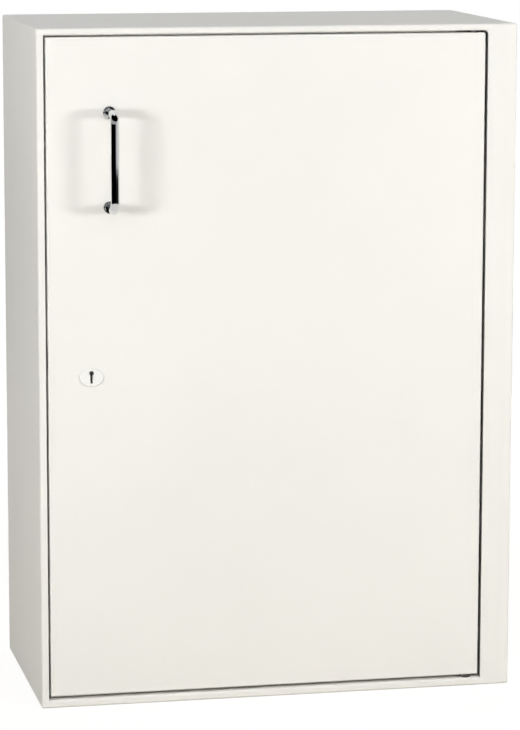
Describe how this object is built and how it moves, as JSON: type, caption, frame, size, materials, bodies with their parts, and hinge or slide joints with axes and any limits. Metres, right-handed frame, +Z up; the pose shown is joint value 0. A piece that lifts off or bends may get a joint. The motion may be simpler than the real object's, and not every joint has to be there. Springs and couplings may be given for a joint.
{
  "type": "medicine cabinet",
  "caption": "White lockable wall medicine cabinet of folded sheet steel with an inset hinged door, bow handle, keyhole escutcheon, lever lock and folded shelves.",
  "frame": {"origin": "centre of the base, on the surface that the cabinet stands on", "axes": "+X to the hinge side, +Y to the wall, +Z up; the door faces -Y"},
  "size_m": [0.5, 0.2885, 0.7],
  "materials": {
    "casing_paint": "white powder coat",
    "casing_inner_paint": "white powder coat",
    "door_paint": "white powder coat",
    "lining_paint": "white powder coat",
    "shelf_paint": "white powder coat",
    "zinc_plated": "zinc plated",
    "chrome": "polished chrome plate",
    "white_plastic": "semi-gloss",
    "nylon": "black nylon",
    "brass": "stamped",
    "bolt_steel": "nickel plated",
    "rubber": "matt"
  },
  "bodies": {
    "casing": {"left_side_panel": "casing_paint", "right_side_panel": "casing_paint", "top_panel": "casing_paint", "bottom_panel": "casing_paint", "back_panel": "casing_inner_paint", "hinge_post": "casing_inner_paint", "upper_hinge_plate": "zinc_plated", "lower_hinge_plate": "zinc_plated", "upper_hinge_pin": "zinc_plated", "lower_hinge_pin": "zinc_plated", "hinge_washer": "nylon", "shelf_strip_front_left": "zinc_plated", "shelf_strip_back_left": "zinc_plated", "shelf_strip_front_right": "zinc_plated", "shelf_strip_back_right": "zinc_plated", "shelf_clips": "zinc_plated", "shelf_lower": "shelf_paint", "shelf_middle": "shelf_paint", "shelf_upper": "shelf_paint", "door_buffers": "rubber"},
    "door": {"door_skin": "door_paint", "door_lining": "lining_paint", "door_stiffener": "zinc_plated", "upper_hinge_bush": "nylon", "lower_hinge_bush": "nylon", "handle_bow": "chrome", "handle_foot_upper": "chrome", "handle_foot_lower": "chrome", "handle_plate": "zinc_plated", "handle_screws": "zinc_plated", "lock_escutcheon": "white_plastic", "lock_case": "zinc_plated", "lock_cap": "zinc_plated", "lever_pivot": "brass", "lock_screws": "zinc_plated", "lock_cover": "lining_paint", "cover_screws": "zinc_plated"},
    "bolt": {"lock_bolt": "bolt_steel"},
    "front_lever": {"lock_lever_front": "brass"},
    "rear_lever": {"lock_lever_rear": "brass"}
  },
  "joints": [
    {"name": "door_hinge", "type": "hinge", "parent": "casing", "child": "door", "pos_m": [0.2044, -0.118, 0.35], "axis": [0, 0, 1], "range_deg": [0, 110]},
    {"name": "bolt_slide", "type": "slide", "parent": "door", "child": "bolt", "axis": [-1, 0, 0], "range_m": [0, 0.007]},
    {"name": "front_lever_pivot", "type": "hinge", "parent": "door", "child": "front_lever", "pos_m": [-0.2216, -0.118, 0.3645], "axis": [0, -1, 0], "range_deg": [-7, 2]},
    {"name": "rear_lever_pivot", "type": "hinge", "parent": "door", "child": "rear_lever", "pos_m": [-0.2216, -0.116, 0.3645], "axis": [0, -1, 0], "range_deg": [-7, 2]}
  ]
}
